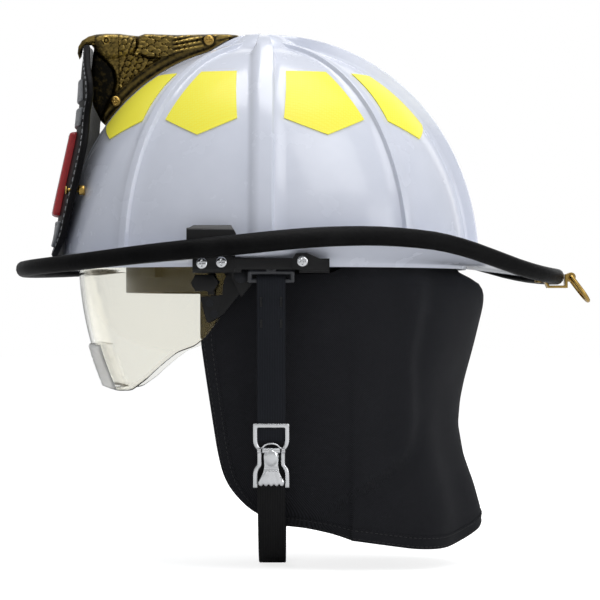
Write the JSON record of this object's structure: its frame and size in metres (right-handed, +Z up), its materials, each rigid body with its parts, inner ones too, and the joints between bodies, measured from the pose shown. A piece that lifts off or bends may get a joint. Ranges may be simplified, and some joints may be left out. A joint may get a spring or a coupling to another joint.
{
  "type": "traditional fire helmet",
  "caption": "Traditional fire helmet: domed shell with a long rear brim, leather front piece under a cast holder, clear visor, chin strap with buckle and a cloth neck cover.",
  "frame": {"origin": "centre of the head opening, in the plane of the shell's rim", "axes": "+Z up through the crown, -X forward over the wearer's face, -Y towards the wearer's left; Y is across the head"},
  "size_m": [0.4009, 0.276, 0.3693],
  "materials": {
    "shell_white": "gloss white moulding with a faint texture",
    "trim_black": "grained matte black roll",
    "lime_film": "lime-yellow retroreflective film",
    "antique_brass": "dark antique brass casting with worn highlights",
    "leather_black": "smooth black leather",
    "banner_grey": "grey leather banners",
    "panel_red": "red leather panel",
    "foam_dark": "dark moulded foam",
    "webbing_dark": "dark ribbed webbing",
    "plastic_black": "matte black moulding",
    "leather_brown": "soft brown sweatband leather",
    "steel": "plain steel",
    "chrome": "bright chrome",
    "lens_clear": "clear lens with a faint straw tint",
    "ring_grey": "dark grey wire",
    "cloth_black": "black quilted cloth",
    "brass": "polished brass"
  },
  "bodies": {
    "helmet": {"shell": "shell_white", "brim_roll": "trim_black", "reflective_panels": "lime_film", "front_holder": "antique_brass", "holder_screws": "antique_brass", "front_piece": "leather_black", "front_banners": "banner_grey", "number_panel": "panel_red", "front_piece_screws": "antique_brass", "impact_liner": "foam_dark", "liner_spacers": "foam_dark", "crown_straps": "webbing_dark", "headband": "plastic_black", "brow_pad": "leather_brown", "suspension_clips": "plastic_black", "ratchet_housing": "plastic_black", "ratchet_cover": "plastic_black", "strap_bracket_left": "plastic_black", "strap_bracket_right": "plastic_black", "bracket_cap_left": "plastic_black", "bracket_cap_right": "plastic_black", "bracket_screws": "chrome", "visor_pivot_pins": "steel", "neck_cover": "cloth_black", "cover_tabs": "cloth_black", "ring_clip": "brass", "ring_clip_rivets": "brass"},
    "visor": {"visor_lens": "lens_clear", "visor_arm_left": "plastic_black", "visor_arm_right": "plastic_black", "visor_latch_left": "plastic_black", "visor_latch_right": "plastic_black", "lens_rivets": "steel"},
    "chin_strap": {"strap_ring_left": "ring_grey", "strap_ring_right": "ring_grey", "chin_strap_upper": "webbing_dark", "buckle_frame": "chrome", "buckle_pin": "steel", "chin_strap_lower": "webbing_dark"},
    "lever": {"buckle_lever": "chrome"},
    "ring": {"hanging_ring": "brass"},
    "knob": {"ratchet_knob": "plastic_black", "ratchet_pinion": "steel"},
    "tail_left": {"band_tail_left": "plastic_black"},
    "tail_right": {"band_tail_right": "plastic_black"}
  },
  "joints": [
    {"name": "visor_swing", "type": "hinge", "parent": "helmet", "child": "visor", "pos_m": [-0.0124, 0, -0.0061], "axis": [0, 1, 0], "range_deg": [0, 32]},
    {"name": "chin_strap_swing", "type": "hinge", "parent": "helmet", "child": "chin_strap", "pos_m": [0.0075, 0, -0.0005], "axis": [0, 1, 0], "range_deg": [-4, 20]},
    {"name": "lever_swing", "type": "hinge", "parent": "chin_strap", "child": "lever", "pos_m": [0.0075, -0.09935, -0.12186], "axis": [-1, 0, 0], "range_deg": [0, 60]},
    {"name": "ring_swing", "type": "hinge", "parent": "helmet", "child": "ring", "pos_m": [0.2158, 0, -0.005], "axis": [0, 1, 0], "range_deg": [-50, 37]},
    {"name": "knob_turn", "type": "hinge", "parent": "helmet", "child": "knob", "pos_m": [0.12, 0, -0.005], "axis": [1, 0, 0], "range_deg": [0, 160]},
    {"name": "tail_left_slide", "type": "hinge", "parent": "helmet", "child": "tail_left", "pos_m": [0.026, 0, 0], "axis": [0, 0, 1], "range_deg": [-6.5, 0.5]},
    {"name": "tail_right_slide", "type": "hinge", "parent": "helmet", "child": "tail_right", "pos_m": [0.026, 0, 0], "axis": [0, 0, 1], "range_deg": [-0.5, 6.5]}
  ],
  "couplings": [
    {"joint": "tail_left_slide", "follows": "knob_turn", "ratio": -0.036},
    {"joint": "tail_right_slide", "follows": "knob_turn", "ratio": 0.036}
  ]
}
